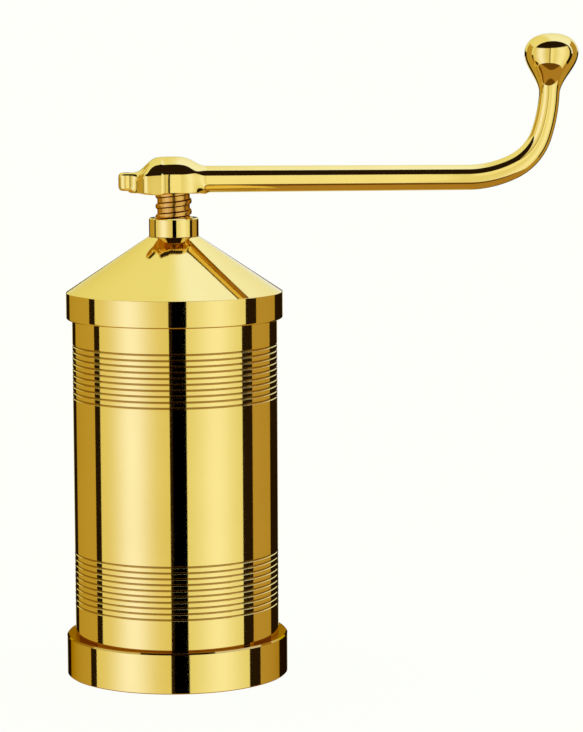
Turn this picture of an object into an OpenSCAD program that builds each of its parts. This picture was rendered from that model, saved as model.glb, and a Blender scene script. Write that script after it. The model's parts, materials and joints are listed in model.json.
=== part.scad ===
// Hand coffee mill: tube body, cone lid, crank with a cast knob, cone burrs and a push-fit base cup.
// Millimetres, +Z up. The origin is the centre of the base cup's underside, on the spindle's axis.
// The crank's arm points along +X.

/* [Base cup] */
// Outside diameter of the base cup
base_d = 70; // [69:0.5:74]
// Height of the base cup's outer wall
base_h = 12.8; // [11.5:0.1:13.5]

/* [Body tube] */
// Outside diameter of the body tube
body_d = 64.5; // [63.5:0.1:65]
// Wall of the body tube
body_wall = 1.35; // [1.3:0.05:1.4]
// Height of the body tube's top edge above the table
body_top = 112.9; // [112:0.1:114]
// Turned grooves in each band
groove_count = 10; // [6:1:10]
// Height from one groove to the next
groove_pitch = 1.826; // [1.6:0.01:1.9]
// Height of the top band's highest groove
top_band = 104.76; // [103:0.1:106]
// Height of the bottom band's highest groove
low_band = 39.12; // [38:0.1:40]

/* [Cone lid] */
// Outside diameter of the lid's rim
rim_d = 68.1; // [66:0.1:70]
// Height of the lid's rim
rim_h = 8.4; // [7.5:0.1:9]
// Height of the cone above the rim
cone_h = 17.3; // [17:0.1:18]
// Radius of the flat at the cone's top
cone_top_r = 7.95; // [7.8:0.05:8.2]

/* [Adjuster] */
// Outside diameter of the adjuster nut
nut_d = 15.6; // [15:0.1:16]
// Height of the adjuster nut
nut_h = 5.82; // [5:0.01:6.5]
// Crest diameter of the spindle's coarse thread
thread_d = 11.38; // [11.2:0.02:11.5]
// Depth of the spindle's coarse thread
thread_depth = 0.59; // [0.4:0.01:0.6]
// Pitch of the spindle's coarse thread
thread_pitch = 3.3; // [3.2:0.05:3.4]

/* [Crank] */
// Height of the crank hub's flat underside
hub_z = 152.3; // [152:0.1:153]
// Length of the crank hub's boss along the arm
hub_d = 19.4; // [18:0.1:20]
// Height of the crank hub from its underside to the top of its dome
hub_h = 11.3; // [11:0.1:11.6]
// Diameter of the crank arm beside the hub
arm_d = 8.4; // [8:0.1:8.8]
// Length of the straight part of the arm, from the spindle's axis
arm_straight = 92; // [85:0.5:100]
// Largest diameter of the knob
knob_d = 16.8; // [16:0.1:18]
// Height of the knob's swelling part, from the neck to its top
knob_h = 19.2; // [18:0.1:20]

/* [Burrs] */
// Outside diameter of the fixed outer burr
burr_d = 36; // [35.5:0.1:36]
// Teeth round each burr
burr_teeth = 20; // [16:1:24]

/* [Hidden] */
$fn = 64;
tiny = 0.01;
running = 0.06;             // radial clearance of a running or push fit
tube_r = body_d / 2 - body_wall;   // bore of the body tube
fit_r = tube_r - running;   // radius of what sits in the tube's bore

cup_r = 29.6;               // inside radius of the base cup
cup_floor = 1.8;
cup_top = 22;               // top edge of the base cup's spigot
shoulder_z = 54;            // the carrier rests here inside the tube
carrier_z = 46;             // underside of the carrier's hub and posts
snap_z = 63;                // underside of the retaining ring
snap_h = 1.2;
snap_r = tube_r + 0.35;
post_x = 24.5;              // the carrier's two screw posts, on the X axis
post_top = 64;
screw_r = 1.5;

rim_top = body_top + rim_h;
cone_top = rim_top + cone_h;
lid_wall = 1.5;
washer_z = cone_top - 1.18; // underside of the thrust washer
nut_z = cone_top + 0.08;

journal_r = thread_d / 2;
shaft_r = 4.6;
bore_r = journal_r + running;
flat_y = 4.75;              // distance of the spindle's flat from its axis
spindle_foot = 36.5;
pivot_r = 3;
collar_z = 60;              // underside of the spindle's collar, on top of the inner burr
collar_h = 1.8;
spring_top = 74;

burr_z = carrier_z;                // underside of the outer burr
burr_h = 11;
burr_slope = 4 / 11;        // radius lost for each millimetre of height
burr_mouth = 15.3;          // inside radius of the outer burr at its underside
burr_gap = 0.6;
inner_z = 47.6;             // underside of the inner burr
key_w = 2;
grub_z = 51.5;              // height of the three screws that hold the outer burr
grub_r = 1.3;

brass = [0.86, 0.68, 0.22];
dark_brass = [0.70, 0.53, 0.20];
steel = [0.62, 0.63, 0.65];
bronze = [0.68, 0.45, 0.26];

// Points of an arc in the plane, from angle a0 to a1 in n steps
function arc(cx, cy, r, a0, a1, n) =
  [for (i = [0:n]) let (a = a0 + (a1 - a0) * i / n) [cx + r * cos(a), cy + r * sin(a)]];

module ring(r_out, r_in, z0, z1) {
  rotate_extrude() translate([r_in, z0]) square([r_out - r_in, z1 - z0]);
}

// ---- Base cup ----
module base_cup() {
  edge = 0.5;
  r = base_d / 2;
  color(brass) rotate_extrude() polygon([
    [0, 0], [r - 0.3, 0], [r, 0.3], [r, base_h - edge], [r - edge, base_h],
    [fit_r, base_h], [fit_r, cup_top - 0.6], [fit_r - 0.5, cup_top], [cup_r, cup_top],
    [cup_r, cup_floor + 0.6], [cup_r - 0.6, cup_floor], [0, cup_floor]
  ]);
}

// ---- Body tube with its two bands of grooves ----
module groove_band(top_z) {
  cutter = 0.36;          // radius of the turning tool
  depth = 0.26;
  for (k = [0:groove_count - 1])
    rotate_extrude() translate([body_d / 2 + cutter - depth, top_z - k * groove_pitch])
      circle(r = cutter, $fn = 24);
}

module body_tube() {
  rib = 1.2;
  color(brass) difference() {
    rotate_extrude() polygon([
      [tube_r, base_h], [body_d / 2, base_h], [body_d / 2, body_top], [tube_r, body_top],
      [tube_r, snap_z + snap_h + 0.1], [snap_r + 0.05, snap_z + snap_h + 0.1],
      [snap_r + 0.05, snap_z], [tube_r, snap_z],
      [tube_r, shoulder_z], [tube_r - rib, shoulder_z], [tube_r - rib, shoulder_z - 3],
      [tube_r, shoulder_z - 3 - rib]
    ]);
    groove_band(top_band);
    groove_band(low_band);
  }
}

// ---- Burr carrier: a turned funnel ring that holds the outer burr and both bridges ----
module burr_carrier() {
  pocket = burr_d / 2 + 0.05;
  hub = pocket + 2.75;
  throat = 15.2;
  lip_z = burr_z + burr_h + 0.02;
  color(dark_brass) difference() {
    union() {
      rotate_extrude() polygon([
        [pocket, carrier_z], [hub, carrier_z], [hub, 58.2], [28.2, 60.6],
        [28.2, shoulder_z], [fit_r, shoulder_z], [fit_r, snap_z], [29.2, snap_z],
        [throat, lip_z + 1.4], [throat, lip_z], [pocket, lip_z]
      ]);
      for (side = [-1, 1])
        translate([side * post_x, 0, carrier_z]) cylinder(r = 3.4, h = post_top - carrier_z);
    }
    for (side = [-1, 1])
      translate([side * post_x, 0, carrier_z - 1]) cylinder(r = screw_r, h = post_top + 2 - carrier_z);
    for (a = [60, 180, 300])
      rotate([0, 0, a + 30]) translate([pocket - 1, 0, grub_z]) rotate([0, 90, 0]) cylinder(r = grub_r, h = 5);
  }
}

module retaining_ring() {
  gap = 9;
  color(steel) difference() {
    ring(snap_r, 28.3, snap_z + 0.05, snap_z + snap_h);
    translate([-gap / 2, 20, snap_z - 1]) cube([gap, 20, 4]);
    for (side = [-1, 1])
      translate([side * 7, 28.9, snap_z - 1]) cylinder(r = 0.7, h = 4);
  }
}

// ---- Burrs ----
// One V-shaped flute along a cone's slope, leaning round it and open outwards (way 1) or inwards (-1)
module flute(r, z, depth, lean, len, way) {
  translate([r, 0, z]) rotate([lean, 0, 0]) rotate([0, -atan(burr_slope), 0])
    translate([0, 0, -len / 2]) linear_extrude(len)
      polygon([[-way * depth, 0], [way * depth, -depth * 0.9], [way * depth, depth * 0.35]]);
}

module outer_burr() {
  top_r = burr_mouth - burr_h * burr_slope;
  mid_r = burr_mouth - burr_h * burr_slope / 2;
  color(steel) difference() {
    translate([0, 0, burr_z]) cylinder(r = burr_d / 2, h = burr_h);
    translate([0, 0, burr_z - tiny])
      cylinder(r1 = burr_mouth + tiny * burr_slope, r2 = top_r - tiny * burr_slope, h = burr_h + 2 * tiny);
    for (k = [0:burr_teeth - 1])
      rotate([0, 0, k * 360 / burr_teeth]) flute(mid_r, burr_z + burr_h / 2, 0.9, -18, 16, -1);
    for (a = [60, 180, 300])
      rotate([0, 0, a + 30]) translate([burr_d / 2 - 0.8, 0, grub_z]) rotate([0, 90, 0])
        cylinder(r = grub_r, h = 2);
  }
}

module burr_screws() {
  color(steel) for (a = [60, 180, 300])
    rotate([0, 0, a + 30]) translate([burr_d / 2 - 0.75, 0, grub_z]) rotate([0, 90, 0]) difference() {
      cylinder(r = grub_r - 0.04, h = 3.4);
      translate([-0.25, -2, 2.8]) cube([0.5, 4, 1]);
    }
}

module inner_burr() {
  h = collar_z - inner_z;
  low_r = burr_mouth - burr_gap - (inner_z - burr_z) * burr_slope;
  high_r = low_r - h * burr_slope;
  mid_r = (low_r + high_r) / 2;
  color(steel) difference() {
    translate([0, 0, inner_z + 0.02]) cylinder(r1 = low_r, r2 = high_r, h = h - 0.04);
    translate([0, 0, inner_z - 1]) cylinder(r = 4.55, h = h + 2);
    translate([4, -key_w / 2 - 0.03, inner_z - 1]) cube([1.6, key_w + 0.06, h + 2]);
    for (k = [0:burr_teeth - 1])
      rotate([0, 0, k * 360 / burr_teeth]) flute(mid_r, inner_z + h / 2, 0.95, 18, 18, 1);
    for (k = [0:4])
      rotate([0, 0, k * 72]) flute(high_r + 1.2, collar_z - 3, 1.9, 30, 14, 1);
  }
}

module burr_key() {
  color(steel) translate([3.65, -key_w / 2, 50]) cube([1.9, key_w, 8]);
}

module burr_washer() {
  color(steel) ring(7, 4.1, inner_z - 0.8, inner_z);
}

module burr_nut() {
  color(steel) difference() {
    translate([0, 0, inner_z - 3.8]) cylinder(r = 6.35, h = 2.98, $fn = 6);
    translate([0, 0, inner_z - 5]) cylinder(r = 4.06, h = 6);
  }
}

// ---- Bridges that carry the spindle's two bearings ----
// A strip bent like a top hat: side view in the XZ plane, feet at foot_z, flat middle at mid_z
module strap(foot_z, mid_z, thick, width, pad_r, hole_r) {
  leg_x = 19.5;
  foot_x = 27.6;
  up = mid_z > foot_z ? 1 : -1;
  intersection() {
    translate([0, 15, 0]) rotate([90, 0, 0]) linear_extrude(30) polygon([
      [-foot_x, foot_z], [-leg_x, foot_z], [-leg_x + 2, mid_z], [leg_x - 2, mid_z],
      [leg_x, foot_z], [foot_x, foot_z], [foot_x, foot_z + up * thick],
      [leg_x + thick, foot_z + up * thick], [leg_x + thick - 2, mid_z + up * thick],
      [-leg_x - thick + 2, mid_z + up * thick], [-leg_x - thick, foot_z + up * thick],
      [-foot_x, foot_z + up * thick]
    ]);
    difference() {
      translate([0, 0, 20]) linear_extrude(80) union() {
        square([2 * foot_x - 1, width], center = true);
        circle(r = pad_r);
      }
      translate([0, 0, 19]) cylinder(r = hole_r, h = 82);
      for (side = [-1, 1]) translate([side * post_x, 0, 19]) cylinder(r = screw_r + 0.1, h = 82);
    }
  }
}

module upper_bridge() {
  color(steel) strap(post_top + 0.02, 76.5, 2.2, 7, 10.5, 7.65);
}

module upper_bush() {
  color(bronze) union() {
    ring(9.5, bore_r, spring_top + 1.25, 76.48);
    ring(7.6, bore_r, 76.4, 79.6);
  }
}

module lower_bridge() {
  color(steel) strap(carrier_z - 0.02, 40.2, 2.2, 7, 8, 4.55);
}

module lower_bush() {
  color(bronze) union() {
    ring(6.2, pivot_r + running, 40.22, 40.95);
    ring(4.5, pivot_r + running, 37.4, 40.3);
  }
}

// A slotted cheese-head screw, its head upwards from z = 0 and its shank below
module cheese_screw(shank) {
  difference() {
    union() {
      cylinder(r = 2.7, h = 1.9);
      translate([0, 0, -shank]) cylinder(r = screw_r - 0.04, h = shank + tiny);
    }
    translate([-4, -0.4, 1.1]) cube([8, 0.8, 2]);
  }
}

module upper_bridge_screws() {
  color(steel) for (side = [-1, 1])
    translate([side * post_x, 0, post_top + 2.25]) rotate([0, 0, 35 * side]) cheese_screw(9);
}

module lower_bridge_screws() {
  color(steel) for (side = [-1, 1])
    translate([side * post_x, 0, carrier_z - 2.25]) rotate([180, 0, 50 * side]) cheese_screw(7.5);
}

// ---- Lid, thrust washer and adjuster nut ----
module cone_lid() {
  r = rim_d / 2;
  soft = 0.6;
  spigot_z = 105;
  in_r = 29.5;
  drop = lid_wall * sqrt(1 + pow(cone_h / (r - cone_top_r), 2));
  boss_r = 9;
  slope = cone_h / (r - cone_top_r);
  color(brass) rotate_extrude() polygon(concat(
    [[fit_r, spigot_z], [fit_r, body_top]],
    [[r - soft, body_top]], arc(r - soft, body_top + soft, soft, -75, 0, 5),
    [[r, rim_top], [cone_top_r, cone_top], [7.35, cone_top], [7.35, washer_z - 0.8], [7, washer_z - 0.8]],
    [[7, 130.8], [boss_r, 130.8], [boss_r, rim_top + (r - boss_r) * slope - drop]],
    [[in_r, rim_top + (r - in_r) * slope - drop], [in_r, spigot_z]]
  ));
}

module lid_bush() {
  color(bronze) union() {
    ring(7.3, 5.95, washer_z - 0.78, washer_z - 0.02);
    ring(6.96, 5.95, 131, washer_z - 0.7);
  }
}

// A washer with a flat-sided hole, so that it turns with the spindle
module thrust_washer() {
  color(steel) difference() {
    translate([0, 0, washer_z]) cylinder(r = 7.2, h = 1.24);
    difference() {
      translate([0, 0, washer_z - 1]) cylinder(r = bore_r + 0.04, h = 4);
      translate([-10, flat_y + 0.1, washer_z - 2]) cube([20, 10, 6]);
    }
  }
}

module adjuster_nut() {
  r = nut_d / 2;
  edge = 0.35;
  color(brass) rotate_extrude() polygon([
    [bore_r, nut_z], [r, nut_z], [r, nut_z + nut_h - edge], [r - edge, nut_z + nut_h],
    [bore_r + 0.3, nut_z + nut_h], [bore_r, nut_z + nut_h - 0.3]
  ]);
}

// ---- Spindle ----
// Radius of the thread's profile at the flat's angle, the flat being square to +Y
function flatted(r, a) = sin(a) > 0.3 ? min(r, flat_y / sin(a)) : r;

// One pitch of the thread's profile: [part of the pitch, radius]
thread_row = [
  [0, journal_r - thread_depth], [0.40, journal_r - thread_depth],
  [0.52, journal_r - 0.1], [0.70, journal_r], [0.88, journal_r - 0.1]
];

// A right-handed screw of a whole number of turns, its surface one band wound round the axis
module coarse_thread(z0, turns, steps) {
  rows = len(thread_row);
  last = rows * turns;
  points = [
    for (j = [0:steps - 1]) for (i = [0:last + (j == 0 ? rows : 0)])
      let (a = 360 * j / steps, p = thread_row[i % rows], r = flatted(p[1], a))
        [r * cos(a), r * sin(a), z0 + thread_pitch * (floor(i / rows) + p[0] + j / steps)]
  ];
  function at(j, i) = j == steps ? i + rows : j == 0 ? i : (last + 1) * j + rows + i;
  foot = len(points);
  head = foot + 1;
  polyhedron(
    points = concat(points, [
      [0, 0, z0 + thread_pitch / 2], [0, 0, z0 + thread_pitch * (turns + 0.5)]
    ]),
    faces = concat(
      [for (j = [0:steps - 1]) for (i = [0:last - 1]) [at(j, i), at(j, i + 1), at(j + 1, i + 1)]],
      [for (j = [0:steps - 1]) for (i = [0:last - 1]) [at(j, i), at(j + 1, i + 1), at(j + 1, i)]],
      [for (j = [0:steps - 1]) [at(j, 0), at(j + 1, 0), foot]],
      [for (i = [0:rows - 1]) [at(0, i + 1), at(0, i), foot]],
      [for (j = [0:steps - 1]) [at(j + 1, last), at(j, last), head]],
      [for (i = [last:last + rows - 1]) [at(0, i), at(0, i + 1), head]]
    )
  );
}

module spindle() {
  shank_z = 43.9;         // clear of the lower bush with the spindle at its lowest
  journal_top = 84;
  shaft_top = 159.8;
  crest_z = 146.4;        // a crest of the thread passes this height on the +X side
  start_z = crest_z - thread_pitch * 4.7;
  color(brass) difference() {
    union() {
      translate([0, 0, spindle_foot]) cylinder(r = pivot_r, h = shank_z + 1 - spindle_foot);
      translate([0, 0, shank_z]) cylinder(r = 4, h = inner_z + 1 - shank_z);
      translate([0, 0, inner_z]) cylinder(r = 4.5, h = collar_z + 1 - inner_z);
      translate([0, 0, collar_z]) cylinder(r = 9, h = collar_h);
      translate([0, 0, collar_z]) cylinder(r = journal_r, h = journal_top - collar_z);
      translate([0, 0, journal_top - 1]) cylinder(r = shaft_r, h = shaft_top + 1 - journal_top);
      coarse_thread(start_z, 7, 36);
    }
    translate([3.6, -key_w / 2 - 0.03, 49.9]) cube([2, key_w + 0.06, 8.2]);
  }
}

// ---- Spring that pushes the spindle down, and the washer above it ----
module spring_washer() {
  color(steel) ring(9.5, bore_r, spring_top, spring_top + 1.2);
}

module burr_spring() {
  wire = 0.7;
  mean_r = 7.3;
  sides = 8;
  per_turn = 16;
  coils = 5;
  low = collar_z + collar_h + wire + 0.05;
  high = spring_top - wire - 0.05;
  rings = per_turn * coils;
  points = [
    for (i = [0:rings]) let (a = 360 * i / per_turn, z = low + (high - low) * i / rings)
      for (s = [0:sides - 1]) let (b = 360 * s / sides, r = mean_r + wire * cos(b))
        [r * cos(a), r * sin(a), z + wire * sin(b)]
  ];
  end = rings * sides;
  color(steel) polyhedron(points = points, faces = concat(
    [for (i = [0:rings - 1]) for (s = [0:sides - 1])
      [i * sides + s, i * sides + (s + 1) % sides, (i + 1) * sides + (s + 1) % sides,
       (i + 1) * sides + s]],
    [[for (s = [0:sides - 1]) sides - 1 - s], [for (s = [0:sides - 1]) end + s]]
  ));
}

// ---- Crank: hub, tail, arm and knob in one casting ----
// The path of the bend and knob in the XZ plane: [x, z, direction, radius], up to the knob's top
arm_z = hub_z + 4.15;             // height of the straight arm's axis
arm_end_r = arm_d / 2 - 0.25;
bend_start_r = arm_end_r - 0.03;   // a hair inside the straight arm, so that the two join cleanly
bend = [[34.4, 0, 25], [17.1, 25, 72], [50, 72, 86.5]];  // [radius, from angle, to angle]
function bend_x(k) = k == 0 ? arm_straight
  : bend_x(k - 1) + bend[k - 1][0] * (sin(bend[k - 1][2]) - sin(bend[k - 1][1]));
function bend_z(k) = k == 0 ? arm_z
  : bend_z(k - 1) + bend[k - 1][0] * (cos(bend[k - 1][1]) - cos(bend[k - 1][2]));
neck_r = 3.2;
neck_x = bend_x(3);
neck_z = bend_z(3);
boss_y = 7.3;               // half the width of the crank's boss
knob_lean = 0.6;            // the knob's axis is this much further out than the neck
swell = knob_h * 2 / 3;     // height of the knob's lower, hollow-sided part
crown = knob_h - swell;
function bend_r(a) = bend_start_r - (bend_start_r - neck_r) * pow(a / 86.5, 1.5);

bend_path = concat(
  [[arm_straight - 2, arm_z, 0, bend_start_r]],
  [for (k = [0:2]) let (b = bend[k], n = k == 1 ? 8 : 4) for (i = [1:n])
    let (a = b[1] + (b[2] - b[1]) * i / n)
      [bend_x(k) + b[0] * (sin(a) - sin(b[1])), bend_z(k) + b[0] * (cos(b[1]) - cos(a)), a, bend_r(a)]],
  [for (i = [1:12]) let (t = i / 12, s = (1 - cos(180 * t)) / 2)
    [neck_x + knob_lean * t, neck_z + swell * t, 86.5 + 3.5 * t, neck_r + (knob_d / 2 - neck_r) * s]],
  [for (i = [1:8]) let (u = sin(90 * i / 8.3), r = pow(1 - pow(u, 2.2), 1 / 2.2))
    [neck_x + knob_lean, neck_z + swell + crown * u, 90, knob_d / 2 * r]]
);

module bend_and_knob() {
  sides = 36;
  n = len(bend_path);
  points = concat(
    [for (p = bend_path) for (s = [0:sides - 1])
      let (b = 360 * s / sides, across = p[3] * sin(b), out = p[3] * cos(b))
        [p[0] - out * sin(p[2]), across, p[1] + out * cos(p[2])]],
    [[neck_x + knob_lean, 0, neck_z + knob_h]]
  );
  polyhedron(points = points, faces = concat(
    [[for (s = [0:sides - 1]) sides - 1 - s]],
    [for (i = [0:n - 2]) for (s = [0:sides - 1])
      [i * sides + s, (i + 1) * sides + (s + 1) % sides, (i + 1) * sides + s]],
    [for (i = [0:n - 2]) for (s = [0:sides - 1])
      [i * sides + s, i * sides + (s + 1) % sides, (i + 1) * sides + (s + 1) % sides]],
    [for (s = [0:sides - 1]) [(n - 1) * sides + s, (n - 1) * sides + (s + 1) % sides, n * sides]]
  ));
}

// The boss is long along the arm and narrow across it, with vertical sides up to its shoulder
module boss(shoulder_z) {
  dome = hub_z + hub_h - shoulder_z;
  hull() {
    scale([hub_d / 2, boss_y, 1]) translate([0, 0, hub_z]) cylinder(r = 1, h = shoulder_z - hub_z);
    for (a = [10:10:80])
      translate([0, 0, shoulder_z + dome * sin(a) - tiny])
        scale([hub_d / 2 * pow(cos(a), 0.8), boss_y * pow(cos(a), 0.95), 1]) cylinder(r = 1, h = tiny);
    translate([0, 0, shoulder_z + dome - tiny]) cylinder(r = 0.5, h = tiny);
  }
}

module crank() {
  tail_z = hub_z + 0.6;   // the tail is relieved a little above the hub's underside
  tail_h = 5.8;
  tail_r = 2.3;           // half the tail's width
  tail_x = -14.9;         // axis of the tail's rounded tip
  bore_h = 7.7;           // depth of the blind bore for the spindle
  color(brass) difference() {
    union() {
      boss(hub_z + 3.2);
      hull() {
        translate([tail_x, 0, tail_z + 2]) cylinder(r = tail_r, h = tail_h - 2, $fn = 32);
        translate([tail_x + 0.8, 0, tail_z]) cylinder(r = tail_r - 0.8, h = 1, $fn = 32);
        translate([-5, 0, tail_z]) cylinder(r = tail_r, h = tail_h, $fn = 32);
      }
      hull() {
        translate([-11, 0, tail_z + 3]) cylinder(r = tail_r, h = tail_h - 3, $fn = 32);
        translate([-6, 0, tail_z + 3]) cylinder(r = tail_r, h = tail_h - 0.5, $fn = 32);
      }
      translate([4, 0, arm_z]) rotate([0, 90, 0])
        cylinder(r1 = arm_d / 2, r2 = arm_end_r, h = arm_straight - 4);
      bend_and_knob();
    }
    translate([0, 0, hub_z - 1]) cylinder(r = bore_r, h = bore_h + 1);
  }
}

base_cup();
body_tube();
burr_carrier();
retaining_ring();
outer_burr();
burr_screws();
upper_bridge();
upper_bush();
upper_bridge_screws();
lower_bridge();
lower_bush();
lower_bridge_screws();
cone_lid();
lid_bush();
thrust_washer();
adjuster_nut();
crank();
spindle();
inner_burr();
burr_key();
burr_washer();
burr_nut();
spring_washer();
burr_spring();
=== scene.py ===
"""A hand coffee mill in polished brass: its looks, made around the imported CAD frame.

Lengths are millimetres, except in the studio and camera sections, which are in metres.
make_object turns millimetres into metres."""

import json
import math

import bpy
import numpy as np
from mathutils import Matrix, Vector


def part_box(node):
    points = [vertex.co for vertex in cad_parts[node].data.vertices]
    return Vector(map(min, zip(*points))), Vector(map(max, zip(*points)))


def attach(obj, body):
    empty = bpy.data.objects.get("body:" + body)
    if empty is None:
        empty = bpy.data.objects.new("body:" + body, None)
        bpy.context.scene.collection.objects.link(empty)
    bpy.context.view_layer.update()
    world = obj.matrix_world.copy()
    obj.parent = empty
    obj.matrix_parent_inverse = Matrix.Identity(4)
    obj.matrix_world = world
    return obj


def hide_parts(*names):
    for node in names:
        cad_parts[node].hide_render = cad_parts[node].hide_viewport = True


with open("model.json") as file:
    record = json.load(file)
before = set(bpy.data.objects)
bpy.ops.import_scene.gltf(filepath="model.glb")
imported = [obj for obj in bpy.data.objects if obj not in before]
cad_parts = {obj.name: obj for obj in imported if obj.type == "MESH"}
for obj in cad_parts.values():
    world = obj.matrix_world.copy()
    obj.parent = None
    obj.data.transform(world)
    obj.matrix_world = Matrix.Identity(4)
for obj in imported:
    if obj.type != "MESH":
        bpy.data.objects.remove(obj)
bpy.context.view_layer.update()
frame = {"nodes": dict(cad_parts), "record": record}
MM = 0.001
SEG = 256  # points round a turned piece


def top_of(node):
    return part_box(node)[1][2] / MM


def foot_of(node):
    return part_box(node)[0][2] / MM


def radius_of(node):
    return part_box(node)[1][1] / MM


# ---------------------------------------------------------------- meshes
def make_object(name, verts, faces, normals=None):
    """An object from points in millimetres, with smooth shading and the normals given for its points."""
    mesh = bpy.data.meshes.new(name)
    mesh.from_pydata((np.asarray(verts) * MM).tolist(), [], faces)
    mesh.validate()
    mesh.polygons.foreach_set("use_smooth", [True] * len(mesh.polygons))
    if normals is not None:
        mesh.normals_split_custom_set_from_vertices(np.asarray(normals).tolist())
    mesh.update()
    obj = bpy.data.objects.new(name, mesh)
    bpy.context.scene.collection.objects.link(obj)
    return obj


def outline(corners, steps=6):
    """Rows (r, z, nr, nz) of a closed section with its corners rounded.

    The corners (r, z, fillet) run anticlockwise, with r to the right and z up."""
    rows = []
    count = len(corners)
    for i, (r, z, fillet) in enumerate(corners):
        here = np.array([r, z], float)
        before = here - np.array(corners[i - 1][:2], float)
        after = np.array(corners[(i + 1) % count][:2], float) - here
        before /= np.linalg.norm(before)
        after /= np.linalg.norm(after)
        n0 = np.array([before[1], -before[0]])
        n1 = np.array([after[1], -after[0]])
        turn = math.atan2(before[0] * after[1] - before[1] * after[0], before @ after)
        if r < 1e-6:
            straight = n1 if abs(n1[1]) > abs(n0[1]) else n0
            rows.append((0.0, z, 0.0, math.copysign(1.0, straight[1])))
            continue
        if abs(turn) < 1e-4:
            rows.append((r, z, n0[0], n0[1]))
            continue
        side = math.copysign(1.0, turn)
        start = here - before * fillet * abs(math.tan(turn / 2))
        centre = start - n0 * fillet * side
        for k in range(steps + 1):
            a = turn * k / steps
            nr = n0[0] * math.cos(a) - n0[1] * math.sin(a)
            nz = n0[0] * math.sin(a) + n0[1] * math.cos(a)
            rows.append((centre[0] + nr * fillet * side, centre[1] + nz * fillet * side, nr, nz))
    return rows


def lathe(name, rows):
    """Turns a closed section's rows (r, z, nr, nz) round the Z axis."""
    turn = np.arange(SEG) * 2 * math.pi / SEG
    verts, normals, faces, starts = [], [], [], []
    for r, z, nr, nz in rows:
        starts.append(len(verts))
        if r < 1e-6:
            verts.append((0, 0, z))
            normals.append((0, 0, nz))
            continue
        for a in turn:
            verts.append((r * math.cos(a), r * math.sin(a), z))
            normals.append((nr * math.cos(a), nr * math.sin(a), nz))
    for i in range(len(rows)):
        j = (i + 1) % len(rows)
        a, b = starts[i], starts[j]
        pole_a, pole_b = rows[i][0] < 1e-6, rows[j][0] < 1e-6
        if pole_a and pole_b:
            continue
        for s in range(SEG):
            t = (s + 1) % SEG
            if pole_a:
                faces.append((a, b + t, b + s))
            elif pole_b:
                faces.append((a + s, a + t, b))
            else:
                faces.append((a + s, a + t, b + t, b + s))
    return make_object(name, verts, faces, normals)


# ---------------------------------------------------------------- base cup
TUBE_R = radius_of("body_tube")
TUBE_FOOT, TUBE_TOP = foot_of("body_tube"), top_of("body_tube")
BORE_R = TUBE_R - 1.35
FIT_R = BORE_R - 0.06  # a spigot that slides into the tube
CUP_R = radius_of("base_cup")
CUP_TOP = top_of("base_cup")
CUP_BORE = 29.6
CUP_FLOOR = 1.8


def make_base_cup():
    """A stepped cup: the wide foot that shows, and above it the spigot that holds the tube."""
    return lathe("mill_base_cup", outline([
        (0, 0, 0), (CUP_R - 0.3, 0, 0.1), (CUP_R, 0.3, 0.1), (CUP_R, TUBE_FOOT - 0.5, 0.12),
        (CUP_R - 0.5, TUBE_FOOT, 0.12), (FIT_R, TUBE_FOOT, 0.05),
        (FIT_R, CUP_TOP - 0.6, 0.2), (FIT_R - 0.5, CUP_TOP, 0.15),
        (CUP_BORE, CUP_TOP, 0.15), (CUP_BORE, CUP_FLOOR + 0.6, 0.4),
        (CUP_BORE - 0.6, CUP_FLOOR, 0.4), (0, CUP_FLOOR, 0),
    ]))


# ---------------------------------------------------------------- body tube
BANDS = (39.12, 104.76)  # the highest groove of each band
GROOVES = 10
GROOVE_PITCH = 1.826
GROOVE_HALF = 0.346
GROOVE_DEPTH = 0.4
SNAP_R = BORE_R + 0.4  # the snap ring's groove in the bore
SNAP_LOW, SNAP_HIGH = 63.0, 64.3
LEDGE_R = BORE_R - 1.2  # the ledge that the burr carrier rests on
LEDGE_TOP, LEDGE_LOW = 54.0, 51.0


def make_body_tube():
    corners = [(BORE_R, TUBE_FOOT, 0.1), (TUBE_R, TUBE_FOOT, 0.12)]
    for band in BANDS:
        for k in reversed(range(GROOVES)):
            z = band - k * GROOVE_PITCH
            corners += [
                (TUBE_R, z - GROOVE_HALF, 0.06),
                (TUBE_R - GROOVE_DEPTH, z, 0.25),
                (TUBE_R, z + GROOVE_HALF, 0.06),
            ]
    corners += [
        (TUBE_R, TUBE_TOP, 0.12), (BORE_R, TUBE_TOP, 0.1),
        (BORE_R, SNAP_HIGH, 0.05), (SNAP_R, SNAP_HIGH, 0.05),
        (SNAP_R, SNAP_LOW, 0.05), (BORE_R, SNAP_LOW, 0.05),
        (BORE_R, LEDGE_TOP, 0.05), (LEDGE_R, LEDGE_TOP, 0.05), (LEDGE_R, LEDGE_LOW, 0.1),
        (BORE_R, LEDGE_LOW - 1.2, 0.1),
    ]
    return lathe("mill_body_tube", outline(corners, 5))


# ---------------------------------------------------------------- cone lid
RIM_R = radius_of("cone_lid")
RIM_TOP = 121.3
CONE_R, CONE_TOP = 7.95, top_of("cone_lid")
SLOPE = (CONE_TOP - RIM_TOP) / (RIM_R - CONE_R)
LID_WALL = 1.5
LID_BORE, SPIGOT_FOOT = 29.5, 105.0
SEAT_R, SEAT_DEPTH = 7.35, 1.98  # the recess for the bush's flange
BUSH_R = 7.0
COLLAR_R, COLLAR_FOOT = 9.0, 130.8  # the collar round the bush, under the cone


def under_cone(r):
    return RIM_TOP + (RIM_R - r) * SLOPE - LID_WALL * math.hypot(1, SLOPE)


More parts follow.
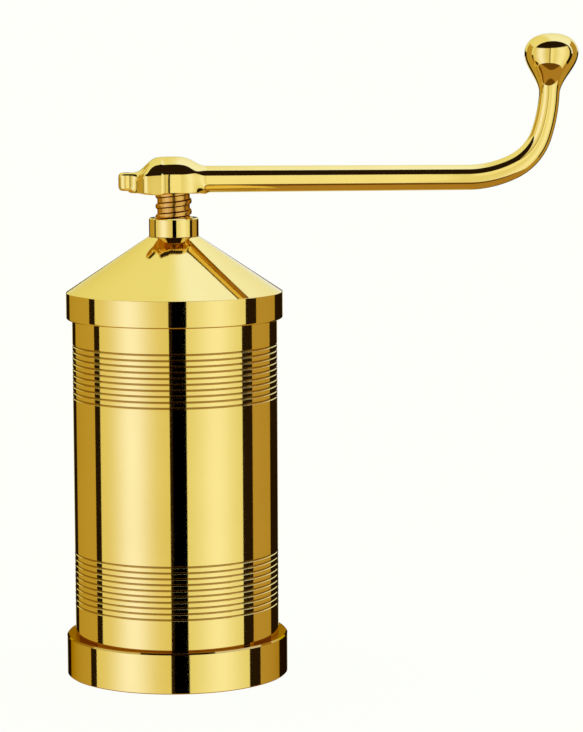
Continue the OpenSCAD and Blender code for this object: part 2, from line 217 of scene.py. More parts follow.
def make_cone_lid():
    return lathe("mill_cone_lid", outline([
        (FIT_R, SPIGOT_FOOT, 0.2), (FIT_R, TUBE_TOP, 0.05), (RIM_R, TUBE_TOP, 0.6), (RIM_R, RIM_TOP, 0.18),
        (CONE_R, CONE_TOP, 0.12), (SEAT_R, CONE_TOP, 0.08),
        (SEAT_R, CONE_TOP - SEAT_DEPTH, 0.05), (BUSH_R, CONE_TOP - SEAT_DEPTH, 0.05),
        (BUSH_R, COLLAR_FOOT, 0.1), (COLLAR_R, COLLAR_FOOT, 0.3), (COLLAR_R, under_cone(COLLAR_R), 0.5),
        (LID_BORE, under_cone(LID_BORE), 0.8), (LID_BORE, SPIGOT_FOOT, 0.2),
    ], 7))


# ---------------------------------------------------------------- adjuster nut
NUT_R = radius_of("adjuster_nut")
NUT_FOOT, NUT_TOP = foot_of("adjuster_nut"), top_of("adjuster_nut")
NUT_BORE = 5.75
NUT_BEVEL = 0.35
BORE_BEVEL = 0.3


def make_adjuster_nut():
    return lathe("mill_adjuster_nut", outline([
        (NUT_BORE, NUT_FOOT, 0.1), (NUT_R, NUT_FOOT, 0.14), (NUT_R, NUT_TOP - NUT_BEVEL, 0.12),
        (NUT_R - NUT_BEVEL, NUT_TOP, 0.12), (NUT_BORE + BORE_BEVEL, NUT_TOP, 0.08),
        (NUT_BORE, NUT_TOP - BORE_BEVEL, 0.08),
    ], 7))


# ---------------------------------------------------------------- spindle: a shaft with a real coarse thread
CREST_R, ROOT_R, PITCH = 5.69, 5.1, 3.3
THREAD_START = 146.4 - 4.7 * PITCH
THREAD_TURNS = 7
THREAD_PROFILE = [  # (part of a turn, radius)
    (0, ROOT_R), (0.40, ROOT_R), (0.46, 5.32), (0.52, CREST_R - 0.08), (0.70, CREST_R),
    (0.88, CREST_R - 0.08), (0.94, 5.32), (1.0, ROOT_R),
]
CORE_R = 4.6  # the shaft where the thread runs out
FLAT_Y = 4.75  # the flat down the thread's back, which keys the thrust washer
SPINDLE_SEG = 160
THREAD_STEP = 0.075
EDGE = 0.25  # how far each shoulder is eased
SPINDLE_FOOT, SPINDLE_TOP = foot_of("spindle"), top_of("spindle")
STEPS = [  # the spindle's plain parts: (height, radius below it)
    (SPINDLE_FOOT, 0.0), (43.9, 3.0), (47.6, 4.0), (60.0, 4.5), (61.8, 9.0), (84.0, CREST_R),
    (SPINDLE_TOP, CORE_R),
]


def thread_radius(z, angle):
    turns = (z - THREAD_START) / PITCH - angle / (2 * math.pi)
    parts, radii = zip(*THREAD_PROFILE)
    live = (turns >= 0) & (turns <= THREAD_TURNS)
    return np.where(live, np.interp(turns % 1.0, parts, radii), CORE_R)


def spindle_rows():
    """Rows (height, radius, whether the thread may be there), from the foot to the top."""
    rows = [(SPINDLE_FOOT, 0.0, False)]
    for (z0, _), (z1, r) in zip(STEPS, STEPS[1:]):
        rows += [(z0, r - EDGE, False), (z0 + EDGE * 0.3, r - EDGE * 0.3, False), (z0 + EDGE, r, False)]
        if r == CORE_R:
            heights = np.arange(THREAD_START - 0.1, THREAD_START + PITCH * (THREAD_TURNS + 1), THREAD_STEP)
            rows += [(z, r, True) for z in heights]
        rows += [(z1 - EDGE, r, False), (z1 - EDGE * 0.3, r - EDGE * 0.3, False), (z1, r - EDGE, False)]
    return rows + [(SPINDLE_TOP, 0.0, False)]


def make_spindle():
    angles = np.arange(SPINDLE_SEG) * 2 * math.pi / SPINDLE_SEG
    across = np.sin(angles)
    rows = spindle_rows()
    verts, faces = [], []
    for z, r, threaded in rows:
        if r == 0:
            verts.append((0, 0, z))
            continue
        ring = np.full(SPINDLE_SEG, r)
        if threaded:
            ring = thread_radius(z, angles)
            ring = np.where(across > 0.3, np.minimum(ring, FLAT_Y / np.maximum(across, 0.3)), ring)
        verts += list(zip(ring * np.cos(angles), ring * across, np.full(SPINDLE_SEG, z)))
    last = len(verts) - 1
    for s in range(SPINDLE_SEG):
        t = (s + 1) % SPINDLE_SEG
        faces.append((0, 1 + t, 1 + s))
        faces.append((last - SPINDLE_SEG + s, last - SPINDLE_SEG + t, last))
        for i in range(len(rows) - 3):
            a, b = 1 + i * SPINDLE_SEG, 1 + (i + 1) * SPINDLE_SEG
            faces.append((a + s, a + t, b + t, b + s))
    obj = make_object("mill_spindle", verts, faces)
    obj.data.set_sharp_from_angle(angle=math.radians(38))
    return obj


# ---------------------------------------------------------------- crank: one casting, from signed distances
HUB_Z, DOME_Z = 152.3, 163.6
BOSS = ((9.7, 2.6), (7.3, 2.1), (8.1, 2.0))  # half size of the boss and roundness of its curve, on x, y and z
BOSS_POWER = 2.2
SHOULDER_Z = DOME_Z - BOSS[2][0]
BORE_TOP = 160.0

TAIL_R, TAIL_END, TAIL_ROOT = 2.3, -14.9, -4
TAIL_TOP, TAIL_RISE = 158.65, 4.25
RISE_START, RISE_LENGTH = -12, 7
TAIL_EASE = 1.1

FLANK_ANGLE = math.radians(54)  # the flat flank between tail and boss, turned from facing straight ahead
FLANK_OUT, FLANK_TOP, FRONT_Y = 11.1, 157.9, 6.8
FLANK_LEAN = math.radians(37)
CHEEK_END, CHEEK_DROP = -4.2, 0.7

ARM_Z, ARM_X = 156.45, 92.0
ARM_R0, ARM_R1, NECK_R = 4.2, 3.95, 3.2
BENDS = [(34.4, 0, 25), (17.1, 25, 72), (50, 72, 86.5)]  # (radius, from angle, to angle)
KNOB_R, KNOB_H, KNOB_LEAN = 8.4, 19.2, 0.6
KNOB_POWER = 2.2
SWELL = KNOB_H * 2 / 3
CROWN = KNOB_H - SWELL
CHEEK_BLEND, TAIL_BLEND, ARM_BLEND, BORE_EASE = 1.8, 1.2, 2.0, 0.2


def bend_centres():
    x, z, out = ARM_X, ARM_Z, []
    for radius, a0, a1 in BENDS:
        a0, a1 = math.radians(a0), math.radians(a1)
        cx, cz = x - radius * math.sin(a0), z + radius * math.cos(a0)
        out.append((cx, cz, radius, a0, a1))
        x, z = cx + radius * math.sin(a1), cz - radius * math.cos(a1)
    return out, x, z


ARCS, NECK_X, NECK_Z = bend_centres()


def smooth_min(a, b, k):
    """The union of two fields, blended over a distance of k."""
    h = np.clip(0.5 + 0.5 * (b - a) / k, 0, 1)
    return b * (1 - h) + a * h - k * h * (1 - h)


def smooth_max(a, b, k):
    """What two fields share, with the edge eased over a distance of k."""
    return -smooth_min(-a, -b, k)


def rounded_corner(a, b, radius):
    """What two fields share, with the corner between them rounded to a radius."""
    outside = np.hypot(np.maximum(a + radius, 0), np.maximum(b + radius, 0))
    return np.minimum(np.maximum(a + radius, b + radius), 0) + outside - radius


def boss_field(x, y, z):
    """The boss: a squarish ellipse in plan, with a domed top."""
    up = np.maximum(z - SHOULDER_Z, 0)
    parts = [np.abs(v) / size for v, (size, _) in zip((x, y, up), BOSS)]
    total = sum(part ** power for part, (_, power) in zip(parts, BOSS)) + 1e-6
    level = total ** (1 / BOSS_POWER) - 1
    slopes = [power / size * part ** (power - 1) for part, (size, power) in zip(parts, BOSS)]
    steep = np.sqrt(sum(v ** 2 for v in slopes)) * total ** (1 / BOSS_POWER - 1) / BOSS_POWER
    return smooth_max(level / np.maximum(steep, 0.05), HUB_Z - z, 0.5)


def tail_height(x):
    """Height of the tail's ridge, which rises in an S-curve to the dome."""
    rise = np.clip((x - RISE_START) / RISE_LENGTH, 0, 1)
    return TAIL_TOP + TAIL_RISE * rise * rise * (3 - 2 * rise)


def tail_field(x, y, z):
    side = np.hypot(x - np.clip(x, TAIL_END, TAIL_ROOT), y) - TAIL_R
    tail = rounded_corner(side, (z - tail_height(x)) * 0.85, TAIL_EASE)
    return smooth_max(tail, HUB_Z + 0.6 - z, 1.6)


def cheek_field(x, y, z):
    """The flat flank and front face that fill the corner between the tail and the boss."""
    flank = -math.sin(FLANK_ANGLE) * x + math.cos(FLANK_ANGLE) * np.abs(y) - FLANK_OUT
    wall = smooth_max(flank, np.abs(y) - FRONT_Y, 1.0)
    lean = (z - FLANK_TOP) * math.sin(FLANK_LEAN) + wall * math.cos(FLANK_LEAN)
    cheek = np.maximum(smooth_max(wall, lean, 0.6), x - CHEEK_END)
    cheek = smooth_max(cheek, (z - tail_height(x) + CHEEK_DROP) * 0.85, 1.6)
    return smooth_max(cheek, HUB_Z - z, 0.5)


def arm_field(x, y, z):
    """The straight arm and its bends, which thin towards the knob's neck."""
    along = np.clip(x / ARM_X, 0, 1)
    arm = np.sqrt((x - along * ARM_X) ** 2 + y ** 2 + (z - ARM_Z) ** 2) - (ARM_R0 + (ARM_R1 - ARM_R0) * along)
    for cx, cz, radius, a0, a1 in ARCS:
        a = np.clip(np.arctan2(x - cx, cz - z), a0, a1)
        away = np.sqrt((x - cx - radius * np.sin(a)) ** 2 + y ** 2 + (z - cz + radius * np.cos(a)) ** 2)
        arm = np.minimum(arm, away - (ARM_R1 - (ARM_R1 - NECK_R) * (a / ARCS[-1][4]) ** 1.5))
    return arm


def knob_field(x, y, z):
    """A pear: a cosine swell from the neck to its widest, and a rounded crown above."""
    t = np.clip((z - NECK_Z) / SWELL, 0, 1)
    out = np.hypot(x - NECK_X - KNOB_LEAN * t, y)
    swell = NECK_R + (KNOB_R - NECK_R) * (1 - np.cos(math.pi * t)) / 2
    steep = (KNOB_R - NECK_R) * math.pi / (2 * SWELL) * np.sin(math.pi * t)
    lower = np.maximum((out - swell) / np.sqrt(1 + steep ** 2), NECK_Z - z)
    up = np.maximum(z - NECK_Z - SWELL, 0)
    total = (out / KNOB_R) ** KNOB_POWER + (up / CROWN) ** KNOB_POWER
    return np.where(z > NECK_Z + SWELL, KNOB_R * (total ** (1 / KNOB_POWER) - 1), lower)


def crank_field(x, y, z):
    hub = smooth_min(boss_field(x, y, z), cheek_field(x, y, z), CHEEK_BLEND)
    hub = smooth_min(hub, tail_field(x, y, z), TAIL_BLEND)
    arm = np.minimum(arm_field(x, y, z), knob_field(x, y, z))
    bore = np.maximum(np.hypot(x, y) - NUT_BORE, z - BORE_TOP)
    return smooth_max(smooth_min(hub, arm, ARM_BLEND), -bore, BORE_EASE)


def cell_corners():
    return [(i, j, k) for i in (0, 1) for j in (0, 1) for k in (0, 1)]


def net_points(grid):
    """For each cell that the surface crosses, its index and the mean of the crossings on its edges."""
    shape = grid.shape
    total = np.zeros([n - 1 for n in shape] + [3])
    hits = np.zeros([n - 1 for n in shape])

    def at(corner):
        return grid[tuple(slice(d, n - 1 + d) for d, n in zip(corner, shape))]

    for a in cell_corners():
        for axis in range(3):
            if a[axis]:
                continue
            b = list(a)
            b[axis] = 1
            fa, fb = at(a), at(b)
            cross = (fa < 0) != (fb < 0)
            part = np.where(cross, fa / np.where(cross, fa - fb, 1), 0)
            for d in range(3):
                total[..., d] += np.where(cross, a[d] + (part if d == axis else 0), 0)
            hits += cross
    live = hits > 0
    index = np.full(live.shape, -1)
    index[live] = np.arange(live.sum())
    return index, np.argwhere(live) + total[live] / hits[live][:, None]


def net_faces(inside, index):
    """A quad round each grid edge that goes through the surface."""
    shape = inside.shape
    faces = []
    for axis in range(3):
        u, v = (axis + 1) % 3, (axis + 2) % 3
        a = [slice(1, n - 1) for n in shape]
        b = list(a)
        a[axis], b[axis] = slice(0, shape[axis] - 1), slice(1, shape[axis])
        start, end = inside[tuple(a)], inside[tuple(b)]
        at = np.argwhere(start != end)
        leaving = start[tuple(at.T)]
        at[:, u] += 1
        at[:, v] += 1
        ring = []
        for du, dv in ((0, 0), (-1, 0), (-1, -1), (0, -1)):
            c = at.copy()
            c[:, u] += du
            c[:, v] += dv
            ring.append(index[tuple(c.T)])
        ring = np.array(ring).T
        faces += ring[leaving].tolist() + ring[~leaving][:, ::-1].tolist()
    return faces


def slope_of(field, points):
    h = 0.02
    out = []
    for d in range(3):
        step = np.zeros(3)
        step[d] = h
        out.append((field(*(points + step).T) - field(*(points - step).T)) / (2 * h))
    return np.array(out).T


def surface_net(field, low, high, cell):
    """A closed quad mesh of field = 0, with its points pulled onto the surface, and their normals."""
    axes = [np.arange(lo, hi + cell, cell) for lo, hi in zip(low, high)]
    grid = field(axes[0][:, None, None], axes[1][None, :, None], axes[2][None, None, :])
    index, places = net_points(grid)
    faces = net_faces(grid < 0, index)
    points = np.array(low) + places * cell
    for _ in range(4):
        g = slope_of(field, points)
        move = (field(*points.T) / np.maximum((g * g).sum(1), 0.1))[:, None] * g
        size = np.linalg.norm(move, axis=1, keepdims=True)
        points = points - move * np.minimum(1, cell * 0.6 / np.maximum(size, 1e-9))
    g = slope_of(field, points)
    return points, faces, g / np.maximum(np.linalg.norm(g, axis=1, keepdims=True), 1e-9)


CRANK_LOW, CRANK_HIGH = (-18.5, -9.6, 150.6), (129.0, 9.6, 203.6)
CELL = 0.38


def make_crank():
    return make_object("mill_crank", *surface_net(crank_field, CRANK_LOW, CRANK_HIGH, CELL))


# ---------------------------------------------------------------- materials
LINES = {"spun": (25, 25, 1800), "turned": (60, 60, 7000), "drawn": (60, 9000, 9000)}
SCRATCH_TURN, SCRATCH_SCALE = (0.4, 0.7, 0.3), (150, 5000, 700)
RIPPLE = 9.0  # mm across one ripple of a casting
BRASS_EDGE = (0.85, 0.76, 0.5)


def add(tree, kind, values=(), **props):
    node = tree.nodes.new(kind)
    for key, value in props.items():
        setattr(node, key, value)
    for key, value in dict(values).items():
        node.inputs[key].default_value = value
    return node


def noise(tree, vector, scale, detail, rough):
    node = add(tree, "ShaderNodeTexNoise", {"Scale": scale, "Detail": detail, "Roughness": rough})
    tree.links.new(vector, node.inputs["Vector"])
    return node.outputs["Fac"]


def remap(tree, value, low, high, to_low, to_high):
    node = add(tree, "ShaderNodeMapRange", {
        "From Min": low, "From Max": high, "To Min": to_low, "To Max": to_high})
    tree.links.new(value, node.inputs["Value"])
    return node.outputs["Result"]


def plus(tree, a, b, clamp=False):
    node = add(tree, "ShaderNodeMath", operation="ADD", use_clamp=clamp)
    tree.links.new(a, node.inputs[0])
    tree.links.new(b, node.inputs[1])
    return node.outputs[0]


def tinted(tree, under, over, factor):
    """The colour or socket under, turning to the colour over as the factor rises."""
    node = add(tree, "ShaderNodeMix", data_type="RGBA")
    if isinstance(under, tuple):
        node.inputs["A"].default_value = (*under, 1)
    else:
        tree.links.new(under, node.inputs["A"])
    node.inputs["B"].default_value = (*over, 1)
    tree.links.new(factor, node.inputs["Factor"])
    return node.outputs["Result"]


def stretched(tree, vector, scale, turn=(0, 0, 0)):
    node = add(tree, "ShaderNodeMapping")
    node.inputs["Rotation"].default_value = turn
    node.inputs["Scale"].default_value = scale
    tree.links.new(vector, node.inputs["Vector"])
    return node.outputs[0]


def mottling(tree, place, grain, patina):
    """Broad clouds and small specks of tarnish, from 0 to about patina."""
    clouds = remap(tree, noise(tree, place, 1000 / grain, 4.0, 0.55), 0.35, 0.75, 0.0, patina)
    specks = remap(tree, noise(tree, place, 6000 / grain, 6.0, 0.65), 0.60, 0.80, 0.0, patina * 1.2)
    return plus(tree, clouds, specks, clamp=True)


def radius_from_axis(tree, place):
    split = add(tree, "ShaderNodeSeparateXYZ")
    flat = add(tree, "ShaderNodeCombineXYZ")
    length = add(tree, "ShaderNodeVectorMath", operation="LENGTH")
    tree.links.new(place, split.inputs[0])
    tree.links.new(split.outputs["X"], flat.inputs["X"])
    tree.links.new(split.outputs["Y"], flat.inputs["Y"])
    tree.links.new(flat.outputs[0], length.inputs[0])
    return length.outputs["Value"]


def groove_shaded(tree, shade, place, radius, depth, most, colour):
    """Painted shade in grooves: metal deeper than radius turns the colour, by as much as most at depth below
    it.
    """
    out = radius_from_axis(tree, place)
    return tinted(tree, shade, colour, remap(tree, out, (radius - depth) * MM, radius * MM, most, 0.0))


def flank_shaded(tree, shade, place, radius, half, colour):
    """Painted shade: metal within half of radius turns the colour, darkening a thread's flanks."""
    near = add(tree, "ShaderNodeMath", {1: radius * MM, 2: half * MM}, operation="COMPARE")
    tree.links.new(radius_from_axis(tree, place), near.inputs[0])
    return tinted(tree, shade, colour, near.outputs[0])


def ledge_shaded(tree, shade, normal, colour):
    """Painted shade: metal that faces up turns the colour, more so the more nearly straight up it faces."""
    facing = add(tree, "ShaderNodeSeparateXYZ")
    tree.links.new(normal, facing.inputs[0])
    return tinted(tree, shade, colour, remap(tree, facing.outputs["Z"], 0.35, 0.9, 0.0, 0.9))


def relief(tree, place, line_axis, line_depth, hammer, scratches):
    """The height of tool lines, a casting's ripple and scratches, in mm, or None where there is none."""
    layers = []
    if line_axis:
        lines = noise(tree, stretched(tree, place, LINES[line_axis]), 1.0, 3.0, 0.5)
        layers.append((lines, line_depth))
    if hammer:
        layers.append((noise(tree, place, 1000 / RIPPLE, 1.5, 0.4), hammer))
    if scratches:
        worn = noise(tree, stretched(tree, place, SCRATCH_SCALE, SCRATCH_TURN), 1.0, 2.0, 0.5)
        layers.append((remap(tree, worn, 0.68, 0.74, 0.0, -1.0), scratches))
    height = None
    for socket, scale in layers:
        scaled = add(tree, "ShaderNodeMath", {1: scale}, operation="MULTIPLY")
        tree.links.new(socket, scaled.inputs[0])
        height = scaled.outputs[0] if height is None else plus(tree, height, scaled.outputs[0])
    return height


def metal(name, colour, dark, rough, rough_spread, grain, patina, line_axis=None, line_depth=0.0,
          hammer=0.0, scratches=0.0, groove=None, flank=None, ledge=None, edge=BRASS_EDGE):
    """A metal with mottled tarnish, uneven polish, and fine tool lines or a casting's ripple.

    grain is the size of the mottling in mm, line_axis is a key of LINES, and line_depth, hammer and
    scratches are heights in mm. groove, flank and ledge are what groove_shaded, flank_shaded and
    ledge_shaded take, each a painted shade: in grooves, on a thread's flanks and on faces that look up.
    edge tints the metal's reflections at a grazing angle."""
    mat = bpy.data.materials.new(name)
    mat.use_nodes = True
    tree = mat.node_tree
    shader = tree.nodes["Principled BSDF"]
    coord = add(tree, "ShaderNodeTexCoord")
    place = coord.outputs["Object"]
    shade = tinted(tree, colour, dark, mottling(tree, place, grain, patina))
    if groove:
        shade = groove_shaded(tree, shade, place, *groove)
    if flank:
        shade = flank_shaded(tree, shade, place, *flank)
    if ledge:
        shade = ledge_shaded(tree, shade, coord.outputs["Normal"], ledge)
    haze = noise(tree, place, 2500 / grain, 5.0, 0.6)
    tree.links.new(shade, shader.inputs["Base Color"])
    tree.links.new(remap(tree, haze, 0.3, 0.75, rough, rough + rough_spread), shader.inputs["Roughness"])
    shader.inputs["Specular Tint"].default_value = (*edge, 1)
    shader.inputs["Metallic"].default_value = 1.0
    height = relief(tree, place, line_axis, line_depth, hammer, scratches)
    if height is not None:
        bump = add(tree, "ShaderNodeBump", {"Strength": 1.0, "Distance": MM})
        tree.links.new(height, bump.inputs["Height"])
        tree.links.new(bump.outputs["Normal"], shader.inputs["Normal"])
    return mat


BRASS = (0.87, 0.63, 0.18)
BRASS_DARK = (0.62, 0.38, 0.07)
SPUN = {"line_axis": "spun", "line_depth": 0.00006}
# painted shade: the tube's grooves darken towards a dark brown
TUBE_GROOVE_SHADE = (TUBE_R - 0.05, 0.22, 0.8, (0.27, 0.13, 0.02))
# painted shade: the thread's flanks turn near black
THREAD_FLANK_SHADE = (5.36, 0.17, (0.13, 0.04, 0.01))
METALS = {
    "polished_brass": dict(colour=BRASS, dark=BRASS_DARK, rough=0.035, rough_spread=0.03, grain=26,
                           patina=0.10, groove=TUBE_GROOVE_SHADE, **SPUN),
    "lid_brass": dict(colour=BRASS, dark=BRASS_DARK, rough=0.035, rough_spread=0.03, grain=22,
                      patina=0.10, **SPUN),
    "nut_brass": dict(colour=BRASS, dark=BRASS_DARK, rough=0.04, rough_spread=0.03, grain=12,
                      patina=0.12, **SPUN),
    # painted shade: the cup's up-facing ledge turns dark brown
    "cup_brass": dict(colour=BRASS, dark=BRASS_DARK, rough=0.035, rough_spread=0.03, grain=24,
                      patina=0.10, ledge=(0.36, 0.16, 0.02), edge=(0.52, 0.34, 0.12), **SPUN),
    "cast_brass": dict(colour=BRASS, dark=BRASS_DARK, rough=0.04, rough_spread=0.035, grain=15,
                       patina=0.14, hammer=0.006, scratches=0.0002),
    "spindle_brass": dict(colour=(0.70, 0.36, 0.07), dark=(0.36, 0.15, 0.03), rough=0.16, rough_spread=0.1,
                          grain=5, patina=0.35, line_axis="turned", line_depth=0.002, flank=THREAD_FLANK_SHADE,
                          edge=(0.6, 0.4, 0.15)),
    "turned_brass": dict(colour=(0.70, 0.50, 0.17), dark=(0.45, 0.28, 0.08), rough=0.24, rough_spread=0.12,
                         grain=9, patina=0.3, line_axis="turned", line_depth=0.004),
    "bush_bronze": dict(colour=(0.62, 0.38, 0.20), dark=(0.36, 0.20, 0.10), rough=0.28, rough_spread=0.12,
                        grain=4, patina=0.35, line_axis="turned", line_depth=0.004),
    "burr_steel": dict(colour=(0.34, 0.34, 0.35), dark=(0.14, 0.12, 0.11), rough=0.32, rough_spread=0.15,
                       grain=5, patina=0.45, line_axis="turned", line_depth=0.006),
    "bridge_steel": dict(colour=(0.60, 0.61, 0.62), dark=(0.38, 0.36, 0.34), rough=0.26, rough_spread=0.14,
                         grain=8, patina=0.3, line_axis="drawn", line_depth=0.004, scratches=0.004),
    "spring_steel": dict(colour=(0.46, 0.47, 0.50), dark=(0.22, 0.21, 0.22), rough=0.22, rough_spread=0.12,
                         grain=4, patina=0.35, line_axis="drawn", line_depth=0.002),
    "screw_steel": dict(colour=(0.62, 0.63, 0.65), dark=(0.36, 0.35, 0.34), rough=0.2, rough_spread=0.12,
                        grain=3, patina=0.3, line_axis="turned", line_depth=0.002),
}
MATERIALS = {name: metal(name, **look) for name, look in METALS.items()}

# ---------------------------------------------------------------- pieces on their bodies
base_cup = make_base_cup()
body_tube = make_body_tube()
cone_lid = make_cone_lid()
adjuster_nut = make_adjuster_nut()
spindle = make_spindle()
crank = make_crank()
FINE = [  # (piece, body, CAD node, slot, material)
    (base_cup, "base", "base_cup", "polished_brass", "cup_brass"),
    (body_tube, "housing", "body_tube", "polished_brass", "polished_brass"),
    (cone_lid, "lid", "cone_lid", "polished_brass", "lid_brass"),
    (adjuster_nut, "nut", "adjuster_nut", "polished_brass", "nut_brass"),
    (crank, "crank", "crank", "cast_brass", "cast_brass"),
    (spindle, "spindle", "spindle", "spindle_brass", "spindle_brass"),
]
for piece, body, node, slot, finish in FINE:
    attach(piece, body)
    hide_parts(node)
    piece.data.materials.append(MATERIALS[finish])

REPLACED = {row[2] for row in FINE}
SLOT_OF = {part["node"]: part["material_slot"] for part in frame["record"]["subparts"]}
for node, obj in frame["nodes"].items():
    if node in REPLACED:
        continue
    for place in obj.material_slots:
        place.material = MATERIALS[SLOT_OF[node]]

# ---------------------------------------------------------------- studio, in metres
CENTRE_Z = 0.09
CARD_R, SLIT_R = 0.8, 0.84
FRONT_LOW, FRONT_HIGH, BACK_HIGH = -42, 35, 4  # degrees up from the mill's middle
ACROSS, TALL = 48, 12  # a curved card's mesh
ARCH_R, ARCH_Z = 1.15, 0.03
ARCH_FRONT, ARCH_BACK, ARCH_SIDE = 8, 84, 89  # degrees from the zenith
ARCH_CELLS = 48
PAPER = (0.991, 1.0, 0.956)
WORLD = (0.02, 0.011, 0.004)


def emitter(name):
    """A glow in the colour that the mesh's own attribute gives."""
    mat = bpy.data.materials.new(name)
    mat.use_nodes = True
    tree = mat.node_tree
    tree.nodes.clear()
    glow = add(tree, "ShaderNodeEmission", {"Strength": 1.0})
    out = add(tree, "ShaderNodeOutputMaterial")
    paint = add(tree, "ShaderNodeAttribute", attribute_name="glow")
    tree.links.new(paint.outputs["Color"], glow.inputs["Color"])
    tree.links.new(glow.outputs[0], out.inputs["Surface"])
    return mat


CARD = emitter("card_light")


def stage_mesh(name, verts, faces, colours, material):
    mesh = bpy.data.meshes.new(name)
    mesh.from_pydata(verts, [], faces)
    mesh.update()
    paint = mesh.attributes.new("glow", "FLOAT_COLOR", "POINT")
    paint.data.foreach_set("color", np.array([[*c, 1.0] for c in colours], "f").ravel())
    mesh.materials.append(material)
    obj = bpy.data.objects.new(name, mesh)
    bpy.context.scene.collection.objects.link(obj)
    return obj


def card(name, verts, faces, colours):
    obj = stage_mesh(name, verts, faces, colours, CARD)
    obj.visible_camera = False
    return obj


def grid_faces(rows, columns):
    """Quads of a sheet of (rows + 1) by (columns + 1) points."""
    return [(k, k + 1, k + columns + 2, k + columns + 1)
            for i in range(rows) for k in range(i * (columns + 1), i * (columns + 1) + columns)]


def blend(a, b, t):
    return [p + (q - p) * t for p, q in zip(a, b)]


def curved_card(name, a0, a1, edge, centre=None, spread=0.0, high=FRONT_HIGH, radius=CARD_R):
    """A card on a cylinder about the spindle. Angles in degrees: 0 is at -Y, + is towards +X."""
    verts, colours = [], []
    for i in range(ACROSS + 1):
        u = i / ACROSS
        a = math.radians(a0 + (a1 - a0) * u)
        mid = math.exp(-(((u - 0.5) * 2 / spread) ** 2)) if spread else 0.0
        for j in range(TALL + 1):
            e = math.radians(FRONT_LOW + (high - FRONT_LOW) * j / TALL)
            verts.append((radius * math.sin(a), -radius * math.cos(a), CENTRE_Z + radius * math.tan(e)))
            colours.append(blend(edge, centre or edge, mid))
    return card(name, verts, grid_faces(ACROSS, TALL), colours)


def arch_card(name, left, right_side):
    """An arch of paper along X, behind the zenith and a little before it, brighter at +X."""
    verts, colours = [], []
    for i in range(ARCH_CELLS + 1):
        a = math.radians(-ARCH_FRONT + (ARCH_FRONT + ARCH_BACK) * i / ARCH_CELLS)
        for j in range(ARCH_CELLS + 1):
            b = math.radians(-ARCH_SIDE + 2 * ARCH_SIDE * j / ARCH_CELLS)
            x, y, z = math.sin(b), math.cos(b) * math.sin(a), math.cos(b) * math.cos(a)
            verts.append((ARCH_R * x, ARCH_R * y, CENTRE_Z + ARCH_Z + ARCH_R * z))
            t = min(1.0, max(0.0, (x + 0.06) / 0.18))
            colours.append(blend(left, right_side, t * t * (3 - 2 * t)))
    return card(name, verts, grid_faces(ARCH_CELLS, ARCH_CELLS), colours)


def flat_card(name, z, x_half, y0, y1, colour):
    corners = [(-x_half, y0, z), (x_half, y0, z), (x_half, y1, z), (-x_half, y1, z)]
    return card(name, corners, [(0, 1, 2, 3)], [colour] * 4)


def make_cards():
    """Soft white cards in front and overhead, and amber ones at the sides and below."""
    curved_card("card_left", -91.5, -6.5, (0.86, 0.86, 0.53), (1.15, 1.34, 2.26), 0.5)
    curved_card("card_right", 12, 79, (0.90, 0.96, 0.72), (1.12, 1.28, 1.62), 0.65)
    curved_card("card_left_far", -146, -100.5, (0.58, 0.45, 0.12))
    curved_card("card_right_far", 94.5, 131, (0.53, 0.39, 0.12))
    curved_card("card_back", 165, 195, (0.75, 0.72, 0.5), (1.0, 1.05, 1.2), 0.6, BACK_HIGH)
    arch_card("card_over", (0.97, 1.09, 0.95), (1.09, 1.35, 2.25))
    flat_card("card_under", -0.75, 1.4, -0.48, 1.3, (0.47, 0.30, 0.08))
    flat_card("card_under_front", -0.76, 1.4, -1.0, -0.48, (0.16, 0.08, 0.01))


def make_slit_card():
    """A narrow card between the two front ones, which lights the crank alone."""
    slit = curved_card("card_slit", -3.2, 12.5, (1.08, 1.17, 1.15), radius=SLIT_R)
    only = bpy.data.collections.new("slit_light")
    only.objects.link(crank)
    slit.light_linking.receiver_collection = only


def floor_material():
    """Paper that glows in its own colour and takes the rest of its light from the studio."""
    mat = bpy.data.materials.new("floor_paper")
    mat.use_nodes = True
    tree = mat.node_tree
    tree.nodes.clear()
    paint = add(tree, "ShaderNodeAttribute", attribute_name="glow")
    glow = add(tree, "ShaderNodeEmission", {"Strength": 1.0})
    rest = add(tree, "ShaderNodeMix", data_type="RGBA", blend_type="SUBTRACT", clamp_result=True)
    rest.inputs["Factor"].default_value = 1.0
    rest.inputs["A"].default_value = (*PAPER, 1)
    soft = add(tree, "ShaderNodeBsdfDiffuse")
    both = add(tree, "ShaderNodeAddShader")
    out = add(tree, "ShaderNodeOutputMaterial")
    tree.links.new(paint.outputs["Color"], glow.inputs["Color"])
    tree.links.new(paint.outputs["Color"], rest.inputs["B"])
    tree.links.new(rest.outputs["Result"], soft.inputs["Color"])
    tree.links.new(glow.outputs[0], both.inputs[0])
    tree.links.new(soft.outputs[0], both.inputs[1])
    tree.links.new(both.outputs[0], out.inputs["Surface"])
    return mat


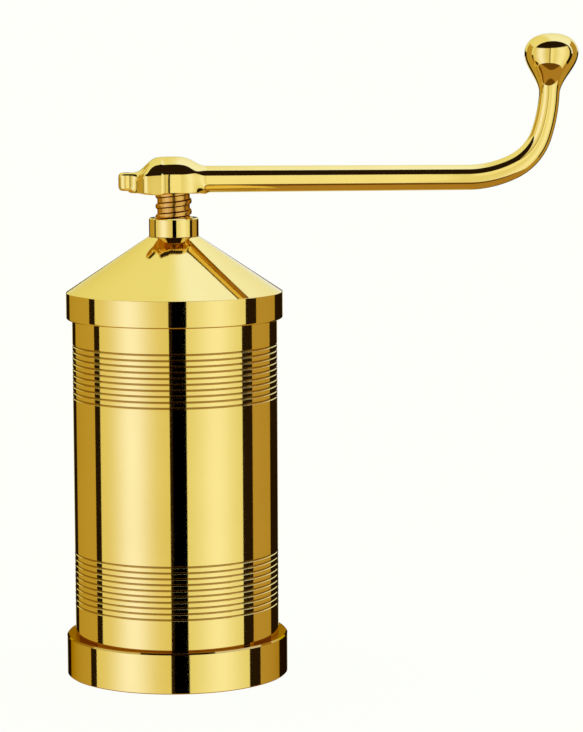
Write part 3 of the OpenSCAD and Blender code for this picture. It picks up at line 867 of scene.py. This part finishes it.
def make_floor():
    """White paper whose shade fades out round the mill, so that it meets the backdrop unseen."""
    radii = [0.0, 0.03, 0.04, 0.05, 0.07, 0.1, 0.14, 0.2, 0.3, 0.5, 7.0]
    spokes, shade_r, darkest = 64, 0.2, 0.035
    verts, colours, faces = [], [], []
    for r in radii:
        # the paper's glow is dimmed near the mill, by up to darkest, a painted shade; the same amount goes to
        # the floor's diffuse part, which takes real light and shadow
        shade = darkest * max(0.0, 1 - r / shade_r) ** 2
        for t in range(spokes):
            a = 2 * math.pi * t / spokes
            verts.append((r * math.cos(a), r * math.sin(a), 0.0))
            colours.append([c * (1 - shade) for c in PAPER])
    for i in range(len(radii) - 1):
        for t in range(spokes):
            u = (t + 1) % spokes
            faces.append((i * spokes + t, (i + 1) * spokes + t, (i + 1) * spokes + u, i * spokes + u))
    floor = stage_mesh("floor", verts, faces, colours, floor_material())
    floor.visible_glossy = False


def make_backdrop():
    """A dome of the same paper, which only the camera sees."""
    bpy.ops.mesh.primitive_uv_sphere_add(segments=64, ring_count=32, radius=8)
    dome = bpy.context.object
    dome.name = "backdrop"
    paint = dome.data.attributes.new("glow", "FLOAT_COLOR", "POINT")
    paint.data.foreach_set("color", np.tile([*PAPER, 1.0], len(dome.data.vertices)).astype("f"))
    dome.data.materials.append(emitter("paper_glow"))
    for way in ("diffuse", "glossy", "transmission", "shadow", "volume_scatter"):
        setattr(dome, "visible_" + way, False)


def make_world():
    world = bpy.data.worlds.new("studio")
    bpy.context.scene.world = world
    world.use_nodes = True
    background = world.node_tree.nodes["Background"]
    background.inputs["Color"].default_value = (*WORLD, 1)
    background.inputs["Strength"].default_value = 1.0
    bpy.context.scene.view_settings.view_transform = "Standard"
    bpy.context.scene.view_settings.look = "None"


make_cards()
make_slit_card()
make_floor()
make_backdrop()
make_world()

# ---------------------------------------------------------------- camera, in metres
CAMERA_AT = (0.0, -0.93824, 0.21015)
LENS, SENSOR = 147.36, 36
YAW, PITCH_DOWN, ROLL = math.radians(2.241), math.radians(6.854), math.radians(-0.261)


def make_camera():
    forward = np.array([
        math.sin(YAW) * math.cos(PITCH_DOWN), math.cos(YAW) * math.cos(PITCH_DOWN), -math.sin(PITCH_DOWN)])
    right = np.array([math.cos(YAW), -math.sin(YAW), 0.0])
    up = np.cross(right, forward)
    cam_x = math.cos(ROLL) * right + math.sin(ROLL) * up
    cam_y = -math.sin(ROLL) * right + math.cos(ROLL) * up
    cam = bpy.data.objects.new("camera", bpy.data.cameras.new("camera"))
    bpy.context.scene.collection.objects.link(cam)
    turn = Matrix([[cam_x[i], cam_y[i], -forward[i]] for i in range(3)]).to_4x4()
    cam.matrix_world = Matrix.Translation(CAMERA_AT) @ turn
    cam.data.lens = LENS
    cam.data.sensor_width = SENSOR
    cam.data.dof.use_dof = False
    bpy.context.scene.camera = cam


make_camera()
